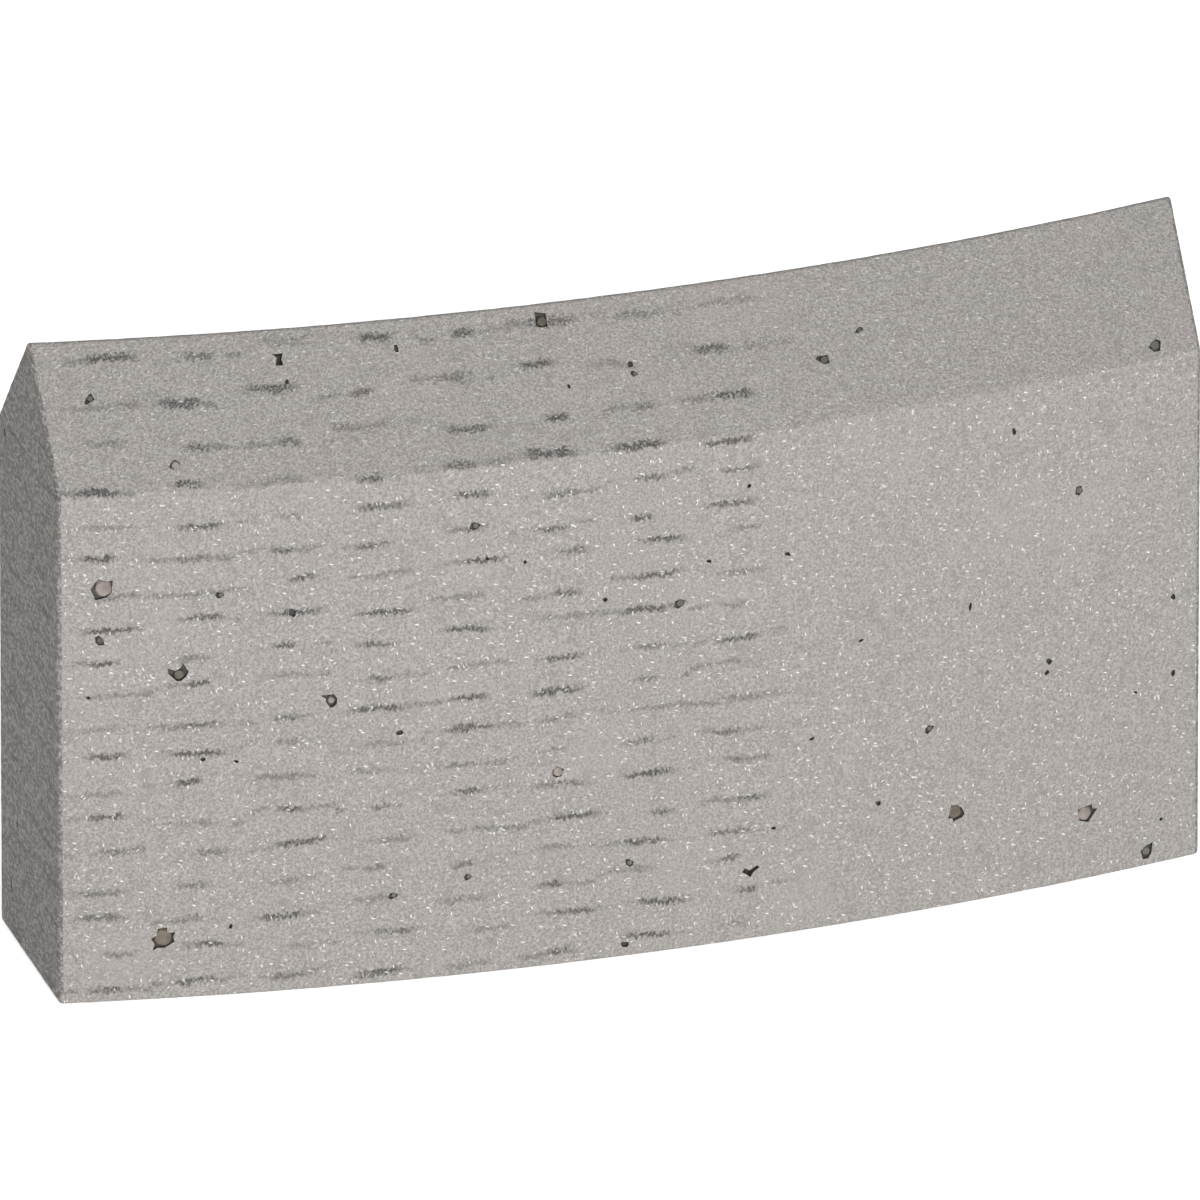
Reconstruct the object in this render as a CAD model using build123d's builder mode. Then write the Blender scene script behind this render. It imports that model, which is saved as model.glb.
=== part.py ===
from build123d import *
from math import cos, degrees, pi, sin, sqrt
from random import Random
import os

# Roof-top segment for the rim of a diamond core bit: one sintered metal bond and the
# diamond crystals it holds.  Millimetres.
# X runs along the chord, the convex outer face looks towards -Y and Z points away from
# the steel barrel.  The origin is the middle of the flat foot that is brazed to it.

# ---- driving dimensions ----
segment_length = 24.0     # along the chord
outer_radius = 61.0       # outer face, half of the 122 mm bit
thickness = 4.1           # from the outer face to the inner face
shoulder_height = 11.25   # foot to the edge of the roof
roof_rise = 2.55          # shoulder to ridge, before the ridge is rounded
edge_radius = 0.1         # every edge is tumbled round

empty_depth = 0.22        # hole of a large crystal that has fallen out
pocket_depth = 0.11       # broken-out edge beside a large crystal, or hole of a small one
shallow_depth = 0.08      # broken-out edge beside a small crystal
crystal_cut = 0.86        # corner cut of a crystal, 1 is a whole octahedral face
crystal_cover = 0.015     # the top of a crystal is at least this far under the face
core_width = 0.42         # crystals inside the bond
core_pitch_along = 3.54
core_pitch_up = 2.9
core_layer_gap = 1.2      # between the three layers of crystals

# ---- sizes that follow ----
inner_radius = outer_radius - thickness
ridge_radius = outer_radius - thickness / 2
ridge_height = shoulder_height + roof_rise
roof_slope = sqrt((thickness / 2) ** 2 + roof_rise**2)
half_length = segment_length / 2
depth = outer_radius - sqrt(inner_radius**2 - half_length**2)
bit_axis_y = outer_radius - depth / 2
bit_axis = Axis((0, bit_axis_y, 0), (0, 0, 1))

chance = Random(61)       # all scatter comes from this one seed


# ---- places on the segment ----
def outward_at(along):
    """Unit vector from the bit's axis, at a distance along the outer arc."""
    angle = along / outer_radius
    return Vector(sin(angle), -cos(angle), 0)


def bit_point(radius, along, height):
    """Point at a radius from the bit's axis."""
    return Vector(0, bit_axis_y, height) + outward_at(along) * radius


def tangent_at(along):
    """Unit vector along the arc, towards +X."""
    outward = outward_at(along)
    return Vector(-outward.Y, outward.X, 0)


def outer_spot(along, height):
    """Plane on the outer face: local x along the arc, y up, z out of the metal."""
    origin = bit_point(outer_radius, along, height)
    return Plane(origin=origin, x_dir=tangent_at(along), z_dir=outward_at(along))


def inner_spot(along, height):
    """Plane on the inner face, seen from the bit's axis."""
    origin = bit_point(inner_radius, along, height)
    return Plane(origin=origin, x_dir=-tangent_at(along), z_dir=-outward_at(along))


def roof_spot(along, climb, side):
    """Plane on a roof slope; climb is mm up from the shoulder, side 1 outer, -1 inner."""
    part_way = climb / roof_slope
    radius = ridge_radius + side * (1 - part_way) * thickness / 2
    origin = bit_point(radius, along, shoulder_height + part_way * roof_rise)
    normal = outward_at(along) * side * roof_rise + Vector(0, 0, thickness / 2)
    return Plane(origin=origin, x_dir=tangent_at(along) * side, z_dir=normal)


def end_spot(across, height, side):
    """Plane on an end face; across is measured along Y, side -1 left, 1 right."""
    origin = (side * half_length, across, height)
    return Plane(origin=origin, x_dir=(0, side, 0), z_dir=(side, 0, 0))


# ---- pockets and crystals ----
def pocket(spot, outline, hole_depth):
    """Prism through the face that a crystal or a chip has left."""
    with BuildPart() as hole:
        with BuildSketch(spot):
            with BuildLine():
                Polyline(*outline, close=True)
            make_face()
        extrude(amount=hole_depth, both=True)
    return hole.part


def crystal(width):
    """Cubo-octahedron: a cube with its eight corners cut off."""
    with BuildPart() as grit:
        Box(width, width, width)
        reach = width * (sqrt(3) - crystal_cut / sqrt(3)) / 2
        for x_way in (-1, 1):
            for y_way in (-1, 1):
                for z_way in (-1, 1):
                    corner = Vector(x_way, y_way, z_way).normalized()
                    split(bisect_by=Plane(corner * reach, z_dir=corner), keep=Keep.BOTTOM)
    return grit.part


def seated(spot, width, across=0.0, up=0.0):
    """A crystal just under the face, nearly flat to it and spun at random."""
    turn = Rotation(chance.uniform(-6, 6), chance.uniform(-6, 6), chance.uniform(0, 90))
    sunk = 0.56 * width + crystal_cover
    return (spot.location * Pos(across, up, -sunk) * turn) * crystal(width)


def ragged_outline(length, height):
    """Irregular six-cornered outline, longer one way than the other and tilted."""
    tilt = chance.uniform(-0.5, 0.5)
    corners = []
    for number in range(6):
        angle = (number + chance.uniform(-0.3, 0.3)) * pi / 3
        reach = chance.uniform(0.75, 1.1)
        x = reach * cos(angle) * length / 2
        y = reach * sin(angle) * height / 2
        corners.append((x * cos(tilt) - y * sin(tilt), x * sin(tilt) + y * cos(tilt)))
    return corners


# ---- the large pockets, each with its own broken outline ----
crescent = [(-0.22, 0.0), (-0.14, 0.13), (-0.06, 0.22), (0.04, 0.18), (0.13, 0.16), (0.23, 0.19),
            (0.22, 0.08), (0.21, -0.08), (0.1, -0.19), (-0.12, -0.24), (-0.17, -0.1)]
heart = [(-0.23, 0.09), (-0.07, 0.03), (0.04, 0.11), (0.07, 0.2), (0.19, 0.0), (0.14, -0.11),
         (0.04, -0.2), (-0.05, -0.2), (-0.22, -0.03)]
star = [(-0.12, 0.23), (0.07, 0.25), (0.08, 0.13), (0.24, 0.13), (0.2, 0.04), (0.22, -0.08),
        (0.02, -0.2), (-0.12, -0.19), (-0.22, -0.25), (-0.18, -0.1), (-0.25, 0.02), (-0.14, 0.08)]
comma = [(-0.18, 0.12), (0.09, 0.13), (0.16, 0.03), (0.15, -0.09), (0.08, -0.16), (0.01, -0.16),
         (-0.07, -0.03), (-0.07, 0.04)]
lozenge = [(-0.11, 0.16), (0.02, 0.15), (0.13, 0.06), (0.19, -0.08), (0.13, -0.15), (-0.06, -0.21),
           (-0.08, -0.13), (-0.17, -0.12)]
broken_frame = [(-0.2, 0.12), (0.12, 0.17), (0.14, 0.07), (0.25, 0.05), (0.04, -0.21),
                (-0.16, -0.14)]
wedge = [(-0.14, 0.02), (0.0, 0.12), (0.14, 0.16), (0.11, -0.08), (0.04, -0.18), (-0.08, -0.18)]
bird = [(-0.12, -0.06), (-0.06, 0.02), (0.05, -0.04), (0.2, 0.05), (0.26, 0.0), (0.13, -0.09),
        (0.06, -0.2), (-0.02, -0.12)]
block = [(-0.1, 0.15), (-0.04, 0.13), (0.12, 0.1), (0.12, -0.18), (-0.05, -0.18), (-0.11, -0.14)]
waist = [(-0.12, 0.09), (0.1, 0.1), (0.06, -0.03), (0.09, -0.15), (-0.07, -0.15), (-0.03, 0.02)]
boot = [(-0.08, -0.12), (-0.1, -0.05), (0.0, 0.1), (0.05, 0.11), (0.11, -0.02), (-0.01, -0.08)]
slug = [(-0.16, 0.01), (-0.11, 0.06), (0.11, 0.06), (0.12, -0.11), (0.0, -0.12)]
oval = [(-0.15, -0.02), (-0.05, 0.08), (0.06, 0.12), (0.15, 0.06), (0.08, -0.13), (-0.06, -0.13)]

# Each large pocket: where it is, its outline, and the width and place of its crystal.
# A width of 0 is an empty pocket.
outer_face_large = [
    (-11.18, 9.18, crescent, 0.35, 0.05, -0.01),
    (-9.62, 7.26, heart, 0.2, 0.0, -0.07),
    (-9.96, 1.37, star, 0.38, 0.0, 0.01),
    (-6.58, 6.4, comma, 0.13, 0.04, -0.01),
    (6.6, 2.1, lozenge, 0.3, -0.02, 0.0),
    (9.5, 1.5, broken_frame, 0.3, -0.03, -0.02),
    (10.87, 0.37, wedge, 0.17, 0.0, -0.02),
    (2.1, 1.6, bird, 0, 0, 0),
]
outer_roof_large = [
    (-1.75, 2.9, block, 0.2, 0.02, -0.05),
    (-7.32, 2.6, waist, 0, 0, 0),
    (-11.28, 2.0, boot, 0.12, 0.02, 0.02),
    (4.0, 1.3, slug, 0.16, 0.03, -0.02),
    (11.1, 0.3, oval, 0.2, 0.02, 0.01),
]

# Each small pocket: along the arc, height or climb, length, height of the hole, crystal.
outer_face_small = [
    (-1.9, 4.3, 0.28, 0.28, 0.2), (0.65, 7.7, 0.32, 0.22, 0.15), (-5.3, 1.95, 0.26, 0.15, 0.1),
    (-3.6, 9.95, 0.26, 0.2, 0.12), (-11.23, 8.05, 0.22, 0.3, 0.13), (-8.8, 8.9, 0.24, 0.15, 0.1),
    (-7.33, 8.4, 0.15, 0.22, 0), (-0.4, 2.1, 0.17, 0.25, 0.11), (-0.5, 0.3, 0.22, 0.16, 0),
    (-3.75, 2.2, 0.2, 0.17, 0.1), (-5.15, 5.55, 0.18, 0.15, 0), (6.0, 4.05, 0.24, 0.18, 0.11),
    (8.65, 5.05, 0.15, 0.15, 0), (8.6, 4.8, 0.1, 0.16, 0), (11.45, 4.2, 0.12, 0.18, 0),
    (11.45, 5.9, 0.12, 0.14, 0), (6.9, 6.6, 0.08, 0.2, 0), (9.3, 8.7, 0.2, 0.24, 0.14),
    (7.85, 10.3, 0.1, 0.2, 0), (2.95, 8.45, 0.16, 0.08, 0), (-0.9, 8.0, 0.12, 0.1, 0),
    (4.9, 2.6, 0.14, 0.14, 0), (-8.6, 1.55, 0.1, 0.14, 0), (-9.15, 5.3, 0.14, 0.1, 0),
    (-11.45, 6.8, 0.1, 0.08, 0), (11.2, 1.0, 0.1, 0.1, 0), (10.6, 3.95, 0.08, 0.07, 0),
    (-3.35, 9.2, 0.09, 0.08, 0), (-2.56, 9.04, 0.1, 0.1, 0), (2.12, 10.09, 0.1, 0.1, 0),
    (1.27, 8.55, 0.14, 0.08, 0), (2.65, 2.42, 0.12, 0.08, 0), (3.47, 4.27, 0.14, 0.08, 0),
    (4.52, 6.27, 0.12, 0.07, 0), (-8.47, 5.2, 0.12, 0.08, 0),
]
outer_roof_small = [
    (-0.05, 1.75, 0.16, 0.14, 0), (0.0, 1.55, 0.16, 0.14, 0.1), (4.9, 1.75, 0.22, 0.12, 0.1),
    (-9.65, 0.55, 0.24, 0.22, 0.17), (-4.85, 2.6, 0.1, 0.2, 0), (-1.4, 1.45, 0.08, 0.1, 0),
    (-7.2, 2.1, 0.1, 0.12, 0),
]
left_end_small = [
    (1.9, 1.15, 0.1, 0.42, 0), (2.2, 11.05, 0.12, 0.22, 0), (1.45, 2.7, 0.1, 0.18, 0),
    (-0.3, 4.05, 0.1, 0.2, 0.14), (0.2, 9.2, 0.1, 0.18, 0.12),
]


def large_set(spots, place):
    """Holes and crystals of a list of large pockets; place makes the plane of each."""
    holes, crystals = [], []
    for along, up, outline, width, shift_along, shift_up in spots:
        spot = place(along, up)
        holes.append(pocket(spot, outline, pocket_depth if width else empty_depth))
        if width:
            crystals.append(seated(spot, width, shift_along, shift_up))
    return holes, crystals


def small_set(spots, place):
    """Holes and crystals of a list of small ragged pockets."""
    holes, crystals = [], []
    for along, up, length, height, width in spots:
        spot = place(along, up)
        hole_depth = shallow_depth if width else pocket_depth
        holes.append(pocket(spot, ragged_outline(length, height), hole_depth))
        if width:
            crystals.append(seated(spot, width, 0.1 * length))
    return holes, crystals


def scatter(count, reach_along, low, high, gap=1.0):
    """Small pockets spread at random, no two nearer than the gap; two of three hold a crystal."""
    spots = []
    while len(spots) < count:
        along = chance.uniform(-reach_along, reach_along)
        up = chance.uniform(low, high)
        if all((along - s[0]) ** 2 + (up - s[1]) ** 2 > gap**2 for s in spots):
            size = chance.uniform(0.12, 0.34)
            shape = chance.uniform(0.6, 1.0)
            width = 0.6 * size if len(spots) % 3 else 0
            spots.append((along, up, size, size * shape, width))
    return spots


def outer_roof_spot(along, climb):
    return roof_spot(along, climb, 1)


def inner_roof_spot(along, climb):
    return roof_spot(along, climb, -1)


def left_end_spot(across, height):
    return end_spot(across, height, -1)


def right_end_spot(across, height):
    return end_spot(across, height, 1)


face_holes, face_crystals = large_set(outer_face_large, outer_spot)
face_holes_small, face_crystals_small = small_set(outer_face_small, outer_spot)
roof_holes, roof_crystals = large_set(outer_roof_large, outer_roof_spot)
roof_holes_small, roof_crystals_small = small_set(outer_roof_small, outer_roof_spot)
left_holes, left_crystals = small_set(left_end_small, left_end_spot)
right_holes, right_crystals = small_set(scatter(7, 0.9, 0.6, 11.0), right_end_spot)
inner_holes, inner_crystals = small_set(scatter(26, 11.2, 0.5, 10.8), inner_spot)
inner_roof_spots = scatter(10, 11.2, 0.4, 2.8)
inner_roof_holes, inner_roof_crystals = small_set(inner_roof_spots, inner_roof_spot)


def core_layer(radius, columns, rows, first_height, stagger):
    """Places of one layer of crystals inside the bond, on a staggered grid."""
    places = []
    for row in range(rows):
        shift = stagger * (row % 2) * core_pitch_along / 2
        for column in range(columns):
            along = (column - (columns - 1) / 2) * core_pitch_along + shift
            height = first_height + row * core_pitch_up
            point = bit_point(radius, along + chance.uniform(-0.2, 0.2),
                              height + chance.uniform(-0.15, 0.15))
            turn = [chance.uniform(0, 90) for axis in range(3)]
            places.append(Location(point, turn))
    return places


# ---- crystals held in the faces ----
with BuildPart() as outer_face_grits:
    add(face_crystals + face_crystals_small)
outer_face_grits.part.label = "outer_face_grits"

with BuildPart() as outer_roof_grits:
    add(roof_crystals + roof_crystals_small)
outer_roof_grits.part.label = "outer_roof_grits"

with BuildPart() as inner_face_grits:
    add(inner_crystals)
inner_face_grits.part.label = "inner_face_grits"

with BuildPart() as inner_roof_grits:
    add(inner_roof_crystals)
inner_roof_grits.part.label = "inner_roof_grits"

with BuildPart() as left_end_grits:
    add(left_crystals)
left_end_grits.part.label = "left_end_grits"

with BuildPart() as right_end_grits:
    add(right_crystals)
right_end_grits.part.label = "right_end_grits"

# ---- crystals buried in the bond, in three layers ----
with BuildPart() as core_grits_outer_layer:
    with Locations(*core_layer(ridge_radius + core_layer_gap, 6, 4, 1.1, 1)):
        add(crystal(core_width))
core_grits_outer_layer.part.label = "core_grits_outer_layer"

with BuildPart() as core_grits_middle_layer:
    with Locations(*core_layer(ridge_radius, 6, 4, 2.2, -1)):
        add(crystal(core_width))
core_grits_middle_layer.part.label = "core_grits_middle_layer"

with BuildPart() as core_grits_inner_layer:
    with Locations(*core_layer(ridge_radius - core_layer_gap, 6, 4, 1.1, 1)):
        add(crystal(core_width))
core_grits_inner_layer.part.label = "core_grits_inner_layer"

# ---- the sintered bond ----
blank_sweep = 2 * segment_length / outer_radius     # radians, twice what the segment needs
start = -segment_length
with BuildPart() as bond:
    with BuildSketch(Plane(bit_point(0, 0, 0), x_dir=outward_at(start), z_dir=-tangent_at(start))):
        with BuildLine():
            Polyline(
                (inner_radius, 0),
                (outer_radius, 0),
                (outer_radius, shoulder_height),
                (ridge_radius, ridge_height),
                (inner_radius, shoulder_height),
                close=True,
            )
        make_face()
    revolve(axis=bit_axis, revolution_arc=degrees(blank_sweep))
    Box(segment_length, 4 * depth, 4 * ridge_height, mode=Mode.INTERSECT)
    fillet(bond.edges(), radius=edge_radius)
    add(
        face_holes + face_holes_small + roof_holes + roof_holes_small + left_holes
        + right_holes + inner_holes + inner_roof_holes,
        mode=Mode.SUBTRACT,
    )
    add(
        [
            outer_face_grits.part, outer_roof_grits.part, inner_face_grits.part,
            inner_roof_grits.part, left_end_grits.part, right_end_grits.part,
            core_grits_outer_layer.part, core_grits_middle_layer.part,
            core_grits_inner_layer.part,
        ],
        mode=Mode.SUBTRACT,
    )
bond.part.label = "bond"

# ---- files ----
os.makedirs("parts", exist_ok=True)
export_step(bond.part, "parts/bond.step")
export_step(outer_face_grits.part, "parts/outer_face_grits.step")
export_step(outer_roof_grits.part, "parts/outer_roof_grits.step")
export_step(inner_face_grits.part, "parts/inner_face_grits.step")
export_step(inner_roof_grits.part, "parts/inner_roof_grits.step")
export_step(left_end_grits.part, "parts/left_end_grits.step")
export_step(right_end_grits.part, "parts/right_end_grits.step")
export_step(core_grits_outer_layer.part, "parts/core_grits_outer_layer.step")
export_step(core_grits_middle_layer.part, "parts/core_grits_middle_layer.step")
export_step(core_grits_inner_layer.part, "parts/core_grits_inner_layer.step")
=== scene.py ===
from math import asin, ceil, cos, radians, sin, sqrt

import bmesh
import bpy
import numpy as np
from mathutils import Matrix, Vector, noise


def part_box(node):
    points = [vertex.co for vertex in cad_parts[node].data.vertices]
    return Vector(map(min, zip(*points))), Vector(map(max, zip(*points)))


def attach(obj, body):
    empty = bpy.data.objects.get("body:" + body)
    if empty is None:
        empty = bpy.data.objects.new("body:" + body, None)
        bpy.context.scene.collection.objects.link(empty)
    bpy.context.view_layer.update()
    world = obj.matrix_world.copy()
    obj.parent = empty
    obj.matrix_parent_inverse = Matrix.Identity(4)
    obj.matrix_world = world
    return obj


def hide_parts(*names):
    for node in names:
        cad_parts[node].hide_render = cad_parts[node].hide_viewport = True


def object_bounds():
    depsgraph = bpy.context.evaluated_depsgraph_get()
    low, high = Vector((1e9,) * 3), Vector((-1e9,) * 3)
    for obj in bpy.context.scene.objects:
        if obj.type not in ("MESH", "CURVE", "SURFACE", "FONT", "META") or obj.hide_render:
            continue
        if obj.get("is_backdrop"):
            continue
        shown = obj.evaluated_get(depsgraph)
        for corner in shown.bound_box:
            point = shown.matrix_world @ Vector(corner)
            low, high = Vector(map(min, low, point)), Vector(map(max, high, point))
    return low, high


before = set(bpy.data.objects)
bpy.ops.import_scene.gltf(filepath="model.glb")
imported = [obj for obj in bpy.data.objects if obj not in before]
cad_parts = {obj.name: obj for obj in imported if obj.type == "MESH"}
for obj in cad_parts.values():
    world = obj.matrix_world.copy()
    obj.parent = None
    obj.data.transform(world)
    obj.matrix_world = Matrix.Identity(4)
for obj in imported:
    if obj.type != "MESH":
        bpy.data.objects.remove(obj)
cad_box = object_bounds()

# Meshes are worked out in millimetres, and scaled to metres when they are finished.
MM = 0.001

# ---- sizes, from the frame and the segment's own proportions ----
bond_low, bond_high = (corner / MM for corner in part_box("bond"))
half_length = bond_high.x
outer_radius = 61.0
thickness = 4.1
shoulder_height = 11.25
roof_rise = 2.55
edge_radius = 0.1
inner_radius = outer_radius - thickness
ridge_radius = outer_radius - thickness / 2
ridge_height = shoulder_height + roof_rise
bit_axis_y = bond_low.y + outer_radius

# ---- camera: a very long lens, because the view has no visible perspective ----
camera_azimuth = radians(-17.05)
camera_elevation = radians(25.16)
view_width = 24.16 * MM
lens_mm = 1500.0
sensor_mm = 36.0
aim_right = -0.185 * MM      # from the middle of the foot to the middle of the view
aim_up = 6.04 * MM


def direction(azimuth, elevation):
    """The unit vector from the segment towards a place; azimuth 0 is in front of the outer face."""
    return Vector((sin(azimuth) * cos(elevation), -cos(azimuth) * cos(elevation), sin(elevation)))


def look_back(obj, away):
    """Turn a camera or light to look against the direction that it lies in."""
    obj.rotation_mode = "QUATERNION"
    obj.rotation_quaternion = away.to_track_quat("Z", "Y")


def make_camera():
    to_camera = direction(camera_azimuth, camera_elevation)
    right = Vector((cos(camera_azimuth), sin(camera_azimuth), 0))
    up = to_camera.cross(right)
    data = bpy.data.cameras.new("camera")
    data.lens = lens_mm
    data.sensor_width = sensor_mm
    data.clip_start = 0.01
    data.clip_end = 20.0
    camera = link("camera", data)
    distance = view_width * lens_mm / sensor_mm
    camera.location = right * aim_right + up * aim_up + to_camera * distance
    look_back(camera, to_camera)
    bpy.context.scene.camera = camera


# ---- node trees ----
class Recipe:
    """A material with one Principled shader, and short calls for the nodes that repeat."""

    def __init__(self, name):
        self.material = bpy.data.materials.new(name)
        self.material.use_nodes = True
        self.tree = self.material.node_tree
        self.shader = self.tree.nodes["Principled BSDF"]

    def new(self, kind, **settings):
        node = self.tree.nodes.new(kind)
        for key, value in settings.items():
            setattr(node, key, value)
        return node

    def feed(self, socket, value):
        """Link a node's output into a socket, or set the socket to a constant."""
        if isinstance(value, bpy.types.NodeSocket):
            self.tree.links.new(value, socket)
        else:
            socket.default_value = value

    def math(self, operation, first, second=0.0, clamp=False):
        node = self.new("ShaderNodeMath", operation=operation, use_clamp=clamp)
        self.feed(node.inputs[0], first)
        self.feed(node.inputs[1], second)
        return node.outputs[0]

    def fit(self, value, low, high, to_low=0.0, to_high=1.0):
        """Smooth step from one range to another."""
        node = self.new("ShaderNodeMapRange", interpolation_type="SMOOTHSTEP")
        for socket, entry in zip(node.inputs, (value, low, high, to_low, to_high)):
            self.feed(socket, entry)
        return node.outputs[0]

    def span(self, share, low, high):
        """Turn 0 to 1 into low to high; a mask gives the one or the other."""
        return self.fit(share, 0.0, 1.0, low, high)

    def blend(self, factor, first, second, way="MIX"):
        """Mix two colours."""
        node = self.new("ShaderNodeMix", data_type="RGBA", blend_type=way)
        self.feed(node.inputs[0], factor)
        self.feed(node.inputs[6], first)
        self.feed(node.inputs[7], second)
        return node.outputs[2]

    def stretch(self, vector, x, y, z):
        """Scale a vector by different amounts."""
        node = self.new("ShaderNodeVectorMath", operation="MULTIPLY")
        self.feed(node.inputs[0], vector)
        node.inputs[1].default_value = (x, y, z)
        return node.outputs[0]

    def join(self, x, y, z):
        node = self.new("ShaderNodeCombineXYZ")
        for socket, entry in zip(node.inputs, (x, y, z)):
            self.feed(socket, entry)
        return node.outputs[0]

    def place(self):
        """Position on the object in millimetres: the vector and its three numbers."""
        spot = self.new("ShaderNodeTexCoord").outputs["Object"]
        vector = self.stretch(spot, 1 / MM, 1 / MM, 1 / MM)
        parts = self.new("ShaderNodeSeparateXYZ")
        self.feed(parts.inputs[0], vector)
        return vector, *parts.outputs

    def cloud(self, vector, scale, detail=2.0, rough=0.5):
        """Noise between 0 and 1."""
        node = self.new("ShaderNodeTexNoise")
        self.feed(node.inputs["Vector"], vector)
        node.inputs["Scale"].default_value = scale
        node.inputs["Detail"].default_value = detail
        node.inputs["Roughness"].default_value = rough
        return node.outputs["Fac"]

    def cells(self, vector, scale):
        """Distance to the nearest cell's point, and that cell's three random numbers."""
        node = self.new("ShaderNodeTexVoronoi")
        self.feed(node.inputs["Vector"], vector)
        node.inputs["Scale"].default_value = scale
        parts = self.new("ShaderNodeSeparateColor")
        self.feed(parts.inputs[0], node.outputs["Color"])
        return node.outputs["Distance"], *parts.outputs

    def bump(self, height, depth):
        """Bump of a real depth in millimetres."""
        node = self.new("ShaderNodeBump")
        node.inputs["Distance"].default_value = depth * MM
        self.feed(node.inputs["Height"], height)
        return node.outputs[0]

    def done(self, colour, roughness, normal, **fixed):
        self.feed(self.shader.inputs["Base Color"], colour)
        self.feed(self.shader.inputs["Roughness"], roughness)
        self.feed(self.shader.inputs["Normal"], normal)
        for name, value in fixed.items():
            self.shader.inputs[name.replace("_", " ")].default_value = value
        return self.material


# ---- the sintered bond's material ----
# Noise scales are features to a millimetre; colours are linear red, green, blue and alpha.
dash_row_pitch = ridge_height / 19     # level layers in the pressed powder
dash_row_waver = 0.06                  # of a row, up or down
dash_pitch = 1.85                   # spacing of the level rows of dashes
dash_slide = (0.35, 0.6)            # how far a row's dashes are shifted, of that spacing
dash_reach = (0.17, 0.4)            # half a dash's length, of that spacing
dash_centre = (0.36, 0.64)          # a dash's height in its row
dash_rise = 0.13                    # half a dash's own height, of the row
dash_power = (0.45, 1.1)
thread_power = 0.5                  # faint threads that run on between some dashes
dash_end = 3.0                      # past this point along the arc the dashes die out
dash_fade = 0.8                     # on each side of that point
dashes_on_faces, dashes_on_ends = 0.95, 0.6
dash_colour = (0.05, 0.046, 0.043, 1)

# painted highlight: the facets' bright colour stands in for glints of light off them
facet_glint_colour = (0.55, 0.54, 0.525, 1)
facet_length = 2.5                  # of its width
# Each layer of facets: the lean in degrees, the noise scale and the share of cells with a facet.
facet_layers = ((15, 9.5, 0.5), (-35, 11.5, 0.5), (75, 10.5, 0.45))
# painted glints: fewer on the roof and hardly any on the ends, where less light falls
glints_on_faces, glints_on_roof, glints_on_ends = 0.95, 0.5, 0.1

powder_scale = 18.0
powder_dark, powder_light = (0.154, 0.145, 0.137, 1), (0.254, 0.24, 0.228, 1)
mottle_scale, mottle_power = 3.0, 0.33
mottle_colour = (0.14, 0.13, 0.123, 1)
copper_scale, copper_power = 0.42, 0.27
copper_colour = (0.25, 0.215, 0.205, 1)
# the ends' dark grain is partly real grain and partly painted shade that darkens the whole end face
end_grain_scale, end_grain_and_shade_power = 16.0, 0.95
end_grain_stretch = (1.0, 0.45, 0.85)
end_grain_and_shade_colour = (0.095, 0.089, 0.084, 1)
bond_bump = 0.03                    # millimetres


def dash_grid(make, place, course, z):
    """The rows and columns that the dashes lie in, and three dice for each cell."""
    waver = make.fit(make.cloud(place, 1.0, 1.0), 0.3, 0.7, -dash_row_waver, dash_row_waver)
    row = make.math("ADD", make.math("DIVIDE", z, dash_row_pitch), waver)
    row_number = make.math("FLOOR", row)
    row_dice = make.new("ShaderNodeTexWhiteNoise", noise_dimensions="1D")
    make.feed(row_dice.inputs["W"], row_number)
    slide = make.span(row_dice.outputs["Value"], *dash_slide)
    column = make.math("ADD", make.math("DIVIDE", course, dash_pitch), slide)
    cell = make.new("ShaderNodeTexWhiteNoise", noise_dimensions="2D")
    make.feed(cell.inputs["Vector"], make.join(row_number, make.math("FLOOR", column), 0.0))
    dice = make.new("ShaderNodeSeparateColor")
    make.feed(dice.inputs[0], cell.outputs["Color"])
    return row, column, list(dice.outputs)


def level_dashes(make, place, along, course, z):
    """Soft dark dashes that lie in level rows; the bump dents them too."""
    row, column, (strength, length, lift) = dash_grid(make, place, course, z)
    upright = make.stretch(place, 1.0, 1.0, 0.5)
    fray = make.fit(make.cloud(upright, 16.0, 1.0), 0.3, 0.7, -dash_row_waver, dash_row_waver)
    centre = make.math("ADD", make.span(lift, *dash_centre), fray)
    height = make.math("ABSOLUTE", make.math("SUBTRACT", make.math("FRACT", row), centre))
    core = make.fit(height, 0.0, dash_rise, 1.0, 0.0)
    across = make.math("ABSOLUTE", make.math("SUBTRACT", make.math("FRACT", column), 0.5))
    body = make.fit(make.math("DIVIDE", across, make.span(length, *dash_reach)), 0.3, 1.1, 1.0, 0.0)
    dash = make.math("MULTIPLY", make.math("MULTIPLY", body, core), make.span(strength, *dash_power))
    runs = make.fit(make.cloud(make.stretch(place, 0.6, 0.6, 1.4), 2.2, 1.0), 0.48, 0.64)
    thread = make.math("MULTIPLY", make.math("MULTIPLY", core, runs), thread_power)
    fade = make.fit(along, dash_end - dash_fade, dash_end + dash_fade, 1.0, 0.0)
    grains = make.fit(make.cloud(upright, 26.0, 1.0, 0.8), 0.35, 0.65, 0.55, 1.25)
    return make.math("MULTIPLY", make.math("MULTIPLY", make.math("MAXIMUM", dash, thread), fade), grains)


def facet_layer(make, place, lean, scale, share):
    """Painted glints on small facets that all lean one way; share is how many of the cells hold one."""
    turned = make.new("ShaderNodeMapping", vector_type="TEXTURE")
    make.feed(turned.inputs["Vector"], place)
    turned.inputs["Rotation"].default_value = (radians(lean), radians(lean), 0)
    turned.inputs["Scale"].default_value = (facet_length, 1.0, 1.0)
    gap, pick, tone, _ = make.cells(turned.outputs[0], scale)
    chosen = make.fit(pick, 1 - share, 1.15 - share)
    shine = make.math("MULTIPLY", make.fit(gap, 0.1, 0.24, 1.0, 0.0), chosen)
    return make.math("MULTIPLY", shine, make.span(tone, 0.3, 1.0))


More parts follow.
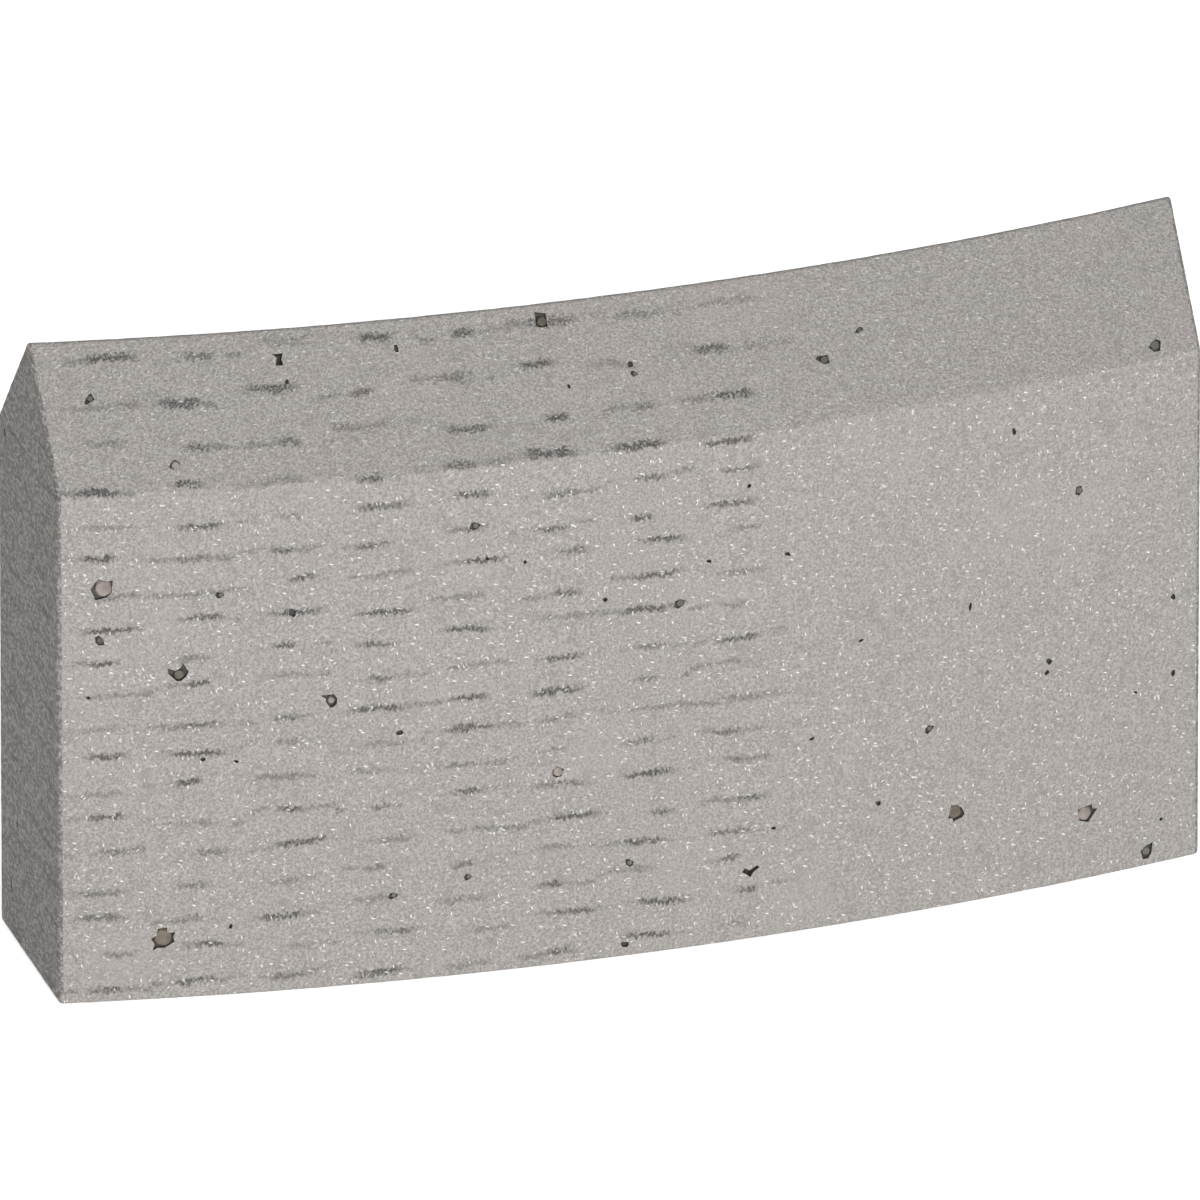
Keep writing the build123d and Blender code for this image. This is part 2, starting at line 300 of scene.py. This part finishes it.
def painted_facet_glints(make, place, z, at_end):
    """Painted glints on facets of hard-metal powder, fewer on the roof and hardly any on the ends, where
    less light falls.
    """
    glint = 0.0
    for lean, scale, share in facet_layers:
        glint = make.math("MAXIMUM", facet_layer(make, place, lean, scale, share), glint)
    on_roof = make.math("GREATER_THAN", z, shoulder_height)
    glint = make.math("MULTIPLY", glint, make.span(on_roof, glints_on_faces, glints_on_roof))
    return make.math("MULTIPLY", glint, make.span(at_end, 1.0, glints_on_ends))


def bond_material():
    """Pressed metal powder: speckle, faint patches, a darker grain on the ends that also paints shade
    there, dashes, and facets with painted glints.
    """
    make = Recipe("sintered_bond")
    place, x, y, z = make.place()
    inward = make.math("SUBTRACT", bit_axis_y, y)
    along = make.math("MULTIPLY", make.math("ARCTAN2", x, inward), outer_radius)
    at_end = make.math("GREATER_THAN", make.math("ABSOLUTE", x), half_length - edge_radius)
    # the way along the arc, which goes on across the ends
    course = make.math("ADD", along, make.math("MULTIPLY", at_end, y))
    powder = make.cloud(place, powder_scale, 1.0, 1.0)
    base = make.blend(make.fit(powder, 0.3, 0.7), powder_dark, powder_light)
    mottle = make.fit(make.cloud(place, mottle_scale, 2.0, 0.5), 0.54, 0.72, 0.0, mottle_power)
    base = make.blend(mottle, base, mottle_colour)
    # copper in the powder shows as faint pink patches
    copper = make.fit(make.cloud(place, copper_scale, 1.0), 0.57, 0.72, 0.0, copper_power)
    base = make.blend(copper, base, copper_colour)
    # the grain of the ends is drawn out across the thickness; its dark colour also paints shade on the
    # ends, which get less light
    drawn_out = make.stretch(place, *end_grain_stretch)
    end_grain = make.fit(make.cloud(drawn_out, end_grain_scale, 1.0, 0.8), 0.39, 0.59)
    end_grain_and_shade = make.math("MULTIPLY", make.math("MULTIPLY", end_grain, at_end), end_grain_and_shade_power)
    base = make.blend(end_grain_and_shade, base, end_grain_and_shade_colour)
    dashes = level_dashes(make, place, along, course, z)
    dash_share = make.span(at_end, dashes_on_faces, dashes_on_ends)
    dashes = make.math("MULTIPLY", dashes, dash_share, clamp=True)
    base = make.blend(dashes, base, dash_colour)
    # painted glints: bright flecks of colour where the facets would catch the light; their lower
    # roughness is real
    glint = painted_facet_glints(make, place, z, at_end)
    base = make.blend(glint, base, facet_glint_colour)
    rough = make.span(glint, 0.72, 0.45)
    relief = make.math("ADD", powder, make.math("MULTIPLY", glint, 0.5))
    relief = make.math("SUBTRACT", relief, make.math("MULTIPLY", dashes, 0.8))
    return make.done(base, rough, make.bump(relief, bond_bump), Specular_IOR_Level=0.35)


def shaded_pocket_material():
    """The walls and floors of the pockets, given a dark colour as painted shade."""
    make = Recipe("pocket_wall_painted_shade")
    place, *_ = make.place()
    powder = make.cloud(place, 14.0, 3.0, 0.6)
    # painted shade: the dark colour stands in for the shade inside the pockets
    base = make.blend(powder, (0.03, 0.028, 0.026, 1), (0.085, 0.08, 0.075, 1))
    return make.done(base, 0.85, make.bump(powder, 0.02), Specular_IOR_Level=0.2)


def grit_material(name, dark, light):
    """One colour of diamond grit: cloudy inside, with fine growth steps on its faces."""
    make = Recipe(name)
    place, *_ = make.place()
    cloud = make.cloud(place, 4.0, 2.0)
    steps = make.cloud(make.stretch(place, 1.0, 1.0, 5.0), 12.0, 2.0, 0.6)
    base = make.blend(make.fit(cloud, 0.3, 0.7), dark, light)
    base = make.blend(make.math("MULTIPLY", steps, 0.35), base, light, "SOFT_LIGHT")
    rough = make.fit(steps, 0.3, 0.7, 0.35, 0.6)
    return make.done(base, rough, make.bump(steps, 0.008), IOR=1.5, Specular_IOR_Level=0.3)


# ---- the bond's shape ----
def profile_corners():
    """The section's corners as (radius, height), anticlockwise from the inner foot."""
    return [np.array(corner) for corner in (
        (inner_radius, 0.0),
        (outer_radius, 0.0),
        (outer_radius, shoulder_height),
        (ridge_radius, ridge_height),
        (inner_radius, shoulder_height),
    )]


surface_step = 0.11      # millimetres between the vertices of the bond's surface
corner_steps = 4         # faces round each edge
surface_weld = 1e-3      # vertices closer than this are joined, as on each end's spine


def rounded_outline(inset):
    """The section's outline with rounded corners, drawn in by up to the edge radius."""
    corners = profile_corners()
    arcs = []
    for number, corner in enumerate(corners):
        normals = []
        for edge in (corner - corners[number - 1], corners[(number + 1) % len(corners)] - corner):
            edge = edge / np.linalg.norm(edge)
            normals.append(np.array((-edge[1], edge[0])))
        centre = corner + edge_radius * (normals[0] + normals[1]) / (1 + normals[0] @ normals[1])
        arc = []
        for share in np.linspace(0, 1, corner_steps + 1):
            normal = normals[0] * (1 - share) + normals[1] * share
            arc.append(centre - (edge_radius - inset) * normal / np.linalg.norm(normal))
        arcs.append(arc)
    outline = []
    for number, arc in enumerate(arcs):
        after = (number + 1) % len(arcs)
        steps = ceil(np.linalg.norm(corners[after] - corners[number]) / surface_step)
        shares = np.linspace(0, 1, steps + 1)[1:-1]
        outline += arc + [arc[-1] * (1 - share) + arcs[after][0] * share for share in shares]
    return np.array(outline)


def stations():
    """Where the sections lie: x, how far drawn in, and the share of the way to the spine."""
    cap_steps = ceil(thickness / 2 / surface_step)
    cap = [(half_length, edge_radius, share) for share in np.linspace(1, 0, cap_steps, endpoint=False)]
    turns = [radians(90 * (1 - step / corner_steps)) for step in range(corner_steps)]
    bend = [(half_length - edge_radius * (1 - sin(turn)), edge_radius * (1 - cos(turn)), 0)
            for turn in turns]
    flat_end = half_length - edge_radius
    middle = [(x, 0, 0) for x in np.linspace(flat_end, -flat_end, ceil(2 * flat_end / surface_step))]
    return cap + bend + middle + [(-x, inset, share) for x, inset, share in reversed(cap + bend)]


def block_mesh():
    """The whole block with no pockets: sections along the chord that close on an upright spine."""
    mesh = bmesh.new()
    rings = []
    for x, inset, share in stations():
        outline = rounded_outline(inset)
        spine_height = np.clip(outline[:, 1], thickness / 2, shoulder_height)
        spine = np.stack((np.full(len(outline), ridge_radius), spine_height), axis=1)
        rings.append([
            mesh.verts.new((x, bit_axis_y - sqrt(radius**2 - x**2), height))
            for radius, height in outline * (1 - share) + spine * share
        ])
    for first, second in zip(rings, rings[1:]):
        for number in range(len(first)):
            mesh.faces.new((first[number - 1], first[number], second[number], second[number - 1]))
    bmesh.ops.remove_doubles(mesh, verts=mesh.verts, dist=surface_weld)
    bmesh.ops.recalc_face_normals(mesh, faces=mesh.faces)
    return as_object(mesh, "bond_surface")


def link(name, data):
    """A new object in the scene."""
    obj = bpy.data.objects.new(name, data)
    bpy.context.scene.collection.objects.link(obj)
    return obj


def as_object(mesh, name):
    """A linked object from a bmesh, which is freed."""
    data = bpy.data.meshes.new(name)
    mesh.to_mesh(data)
    mesh.free()
    return link(name, data)


def settle(obj):
    """Apply every modifier."""
    evaluated = obj.evaluated_get(bpy.context.evaluated_depsgraph_get())
    data = bpy.data.meshes.new_from_object(evaluated)
    obj.modifiers.clear()
    old = obj.data
    obj.data = data
    bpy.data.meshes.remove(old)


def vertex_vectors(data, attribute):
    """A row of three numbers for every vertex: its "co" or its "normal"."""
    flat = np.empty(len(data.vertices) * 3, np.float32)
    data.vertices.foreach_get(attribute, flat)
    return flat.reshape(-1, 3)


grain_size = 0.2         # millimetres across a grain of the relief
grain_depth = 0.012
swell_size = 1.3         # slow unevenness of the pressed faces
swell_depth = 0.006
skin = 0.011             # the relief stays this far under the CAD faces, which are facetted
cad_weld = 1e-5          # joins the CAD mesh's faces, which come with their own vertices


def roughen(obj):
    """Push every vertex in by a grainy amount, never out."""
    data = obj.data
    places = vertex_vectors(data, "co")
    normals = vertex_vectors(data, "normal")
    depths = np.empty(len(places), np.float32)
    for number, place in enumerate(places):
        spot = Vector(place)
        grain = noise.noise(spot / grain_size) * 0.5 + 0.5
        swell = noise.noise(spot / swell_size) * 0.5 + 0.5
        depths[number] = skin + grain_depth * grain + swell_depth * swell
    places -= normals * depths[:, None]
    data.vertices.foreach_set("co", places.ravel())
    data.update()


def cad_copy(node):
    """A closed copy of a CAD node's mesh, in millimetres."""
    mesh = bmesh.new()
    mesh.from_mesh(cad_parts[node].data)
    mesh.transform(Matrix.Scale(1 / MM, 4))
    bmesh.ops.remove_doubles(mesh, verts=mesh.verts, dist=cad_weld)
    return mesh


def hand_over(obj, node):
    """Scale a finished piece to metres and give it its CAD node's place."""
    obj.data.transform(Matrix.Scale(MM, 4))
    obj.data.update()
    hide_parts(node)
    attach(obj, "root")


def make_bond():
    """The block's grainy surface, cut to the CAD bond, whose own faces show only in the pockets."""
    # the pockets' material is painted shade
    surface, pockets = bond_material(), shaded_pocket_material()
    block = block_mesh()
    roughen(block)
    cutter = as_object(cad_copy("bond"), "bond_copy")
    for data in (block.data, cutter.data):
        data.materials.clear()
        data.materials.append(surface)
        data.materials.append(pockets)
    cutter.data.polygons.foreach_set("material_index", [1] * len(cutter.data.polygons))
    cut = block.modifiers.new("pockets", "BOOLEAN")
    cut.operation = "INTERSECT"
    cut.solver = "MANIFOLD"
    cut.material_mode = "INDEX"
    cut.object = cutter
    settle(block)
    bpy.data.objects.remove(cutter)
    polygons = block.data.polygons
    in_pocket = np.empty(len(polygons), np.int32)
    polygons.foreach_get("material_index", in_pocket)
    polygons.foreach_set("use_smooth", in_pocket == 0)
    hand_over(block, "bond")


# ---- the crystals ----
# The crystals whose colour stands out, by node, distance along the arc and height.
coloured_grits = {
    "outer_face_grits": [
        (-11.25, 9.2, "pale_grit"), (-6.6, 6.4, "pale_grit"), (9.5, 1.5, "pale_grit"),
        (-1.9, 4.3, "pale_grit"), (-10.0, 1.35, "brown_grit"), (6.6, 2.1, "brown_grit"),
        (-9.7, 7.25, "olive_grit"),
    ],
    "outer_roof_grits": [(-1.75, 13.5, "olive_grit"), (-9.65, 11.7, "pale_grit")],
}
face_nodes = ("outer_face_grits", "outer_roof_grits", "inner_face_grits",
              "inner_roof_grits", "left_end_grits", "right_end_grits")
core_nodes = ("core_grits_outer_layer", "core_grits_middle_layer", "core_grits_inner_layer")


def grit_materials():
    """Four colours of grit, by name."""
    recipes = {
        "grey_grit": ((0.055, 0.053, 0.049, 1), (0.1, 0.096, 0.09, 1)),
        "pale_grit": ((0.14, 0.117, 0.105, 1), (0.22, 0.192, 0.176, 1)),
        "brown_grit": ((0.075, 0.06, 0.045, 1), (0.12, 0.099, 0.077, 1)),
        "olive_grit": ((0.06, 0.055, 0.043, 1), (0.1, 0.092, 0.074, 1)),
    }
    return {name: grit_material(name, *colours) for name, colours in recipes.items()}


def islands(mesh):
    """The separate crystals of a mesh, each as its list of faces."""
    left = set(mesh.faces)
    while left:
        seed = left.pop()
        group, edge_of_group = [seed], [seed]
        while edge_of_group:
            face = edge_of_group.pop()
            for edge in face.edges:
                for near in edge.link_faces:
                    if near in left:
                        left.remove(near)
                        group.append(near)
                        edge_of_group.append(near)
        yield group


listed_reach = (0.3, 0.4)    # how far a crystal may lie from its listed place, along and up
pale_above = 0.6             # a crystal that rolls more than this is pale
olive_above = 0.3            # between the two it is olive, and below both it is grey
dice_scale = 3.7             # cells to a millimetre; the crystals in one cell roll the same


def grit_colour(node, centre):
    """The listed colour; of the rest, outer ones are grey and others grey, olive or pale by chance."""
    along = outer_radius * asin(centre.x / outer_radius)
    for listed_along, height, name in coloured_grits.get(node, []):
        near = (abs(along - listed_along), abs(centre.z - height))
        if near[0] < listed_reach[0] and near[1] < listed_reach[1]:
            return name
    if node.startswith("outer"):
        return "grey_grit"
    roll = noise.cell(centre * dice_scale)
    if roll > pale_above:
        return "pale_grit"
    return "olive_grit" if roll > olive_above else "grey_grit"


wear = 30                    # percent of each edge's length that the rounding takes
wear_steps = 3


def make_grits(node, materials):
    """Worn crystals: the CAD crystals with their edges rounded away."""
    mesh = cad_copy(node)
    bmesh.ops.dissolve_limit(mesh, angle_limit=radians(1), verts=mesh.verts, edges=mesh.edges)
    names = list(materials)
    for group in list(islands(mesh)):
        corners = {corner for face in group for corner in face.verts}
        centre = sum((corner.co for corner in corners), Vector()) / len(corners)
        colour = names.index(grit_colour(node, centre))
        for face in group:
            face.material_index = colour
    bmesh.ops.bevel(mesh, geom=list(mesh.edges), offset=wear, offset_type="PERCENT",
                    segments=wear_steps, profile=0.5, affect="EDGES", clamp_overlap=True, material=-1)
    grits = as_object(mesh, node + "_worn")
    smooth = grits.modifiers.new("round", "SUBSURF")
    smooth.levels = smooth.render_levels = 1
    for material in materials.values():
        grits.data.materials.append(material)
    settle(grits)
    grits.data.polygons.foreach_set("use_smooth", [True] * len(grits.data.polygons))
    hand_over(grits, node)


# ---- floor and light ----
floor_glow = 0.48        # emission that brings the floor to white without a brighter key light
sky_strength = 0.52
light_target_height = 0.007      # metres, half way up the segment


def make_floor():
    mesh = bmesh.new()
    bmesh.ops.create_grid(mesh, x_segments=1, y_segments=1, size=1.0)
    floor = as_object(mesh, "floor")
    make = Recipe("floor")
    make.shader.inputs["Base Color"].default_value = (0.9, 0.9, 0.9, 1)
    make.shader.inputs["Roughness"].default_value = 0.9
    make.shader.inputs["Emission Color"].default_value = (1, 1, 1, 1)
    make.shader.inputs["Emission Strength"].default_value = floor_glow
    floor.data.materials.append(make.material)
    floor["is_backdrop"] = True


def area_light(name, azimuth, elevation, distance, size, power):
    """A soft square light that looks at the segment's middle; angles in degrees, sizes in metres."""
    data = bpy.data.lights.new(name, "AREA")
    data.size = size
    data.energy = power
    light = link(name, data)
    away = direction(radians(azimuth), radians(elevation))
    light.location = away * distance + Vector((0, 0, light_target_height))
    look_back(light, away)


def make_light():
    world = bpy.data.worlds.new("studio")
    world.use_nodes = True
    background = world.node_tree.nodes["Background"]
    background.inputs["Color"].default_value = (1, 1, 1, 1)
    background.inputs["Strength"].default_value = sky_strength
    bpy.context.scene.world = world
    area_light("key", azimuth=-5, elevation=18, distance=0.4, size=0.3, power=2.3)
    bpy.context.scene.view_settings.view_transform = "Standard"


make_camera()
make_bond()
grit_colours = grit_materials()
for node in face_nodes:
    make_grits(node, grit_colours)
for node in core_nodes:
    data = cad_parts[node].data
    data.materials.clear()
    data.materials.append(grit_colours["olive_grit"])
make_floor()
make_light()

boxes = {"cad": cad_box, "visual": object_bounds()}
{name: [list(corner) for corner in box] for name, box in boxes.items()}
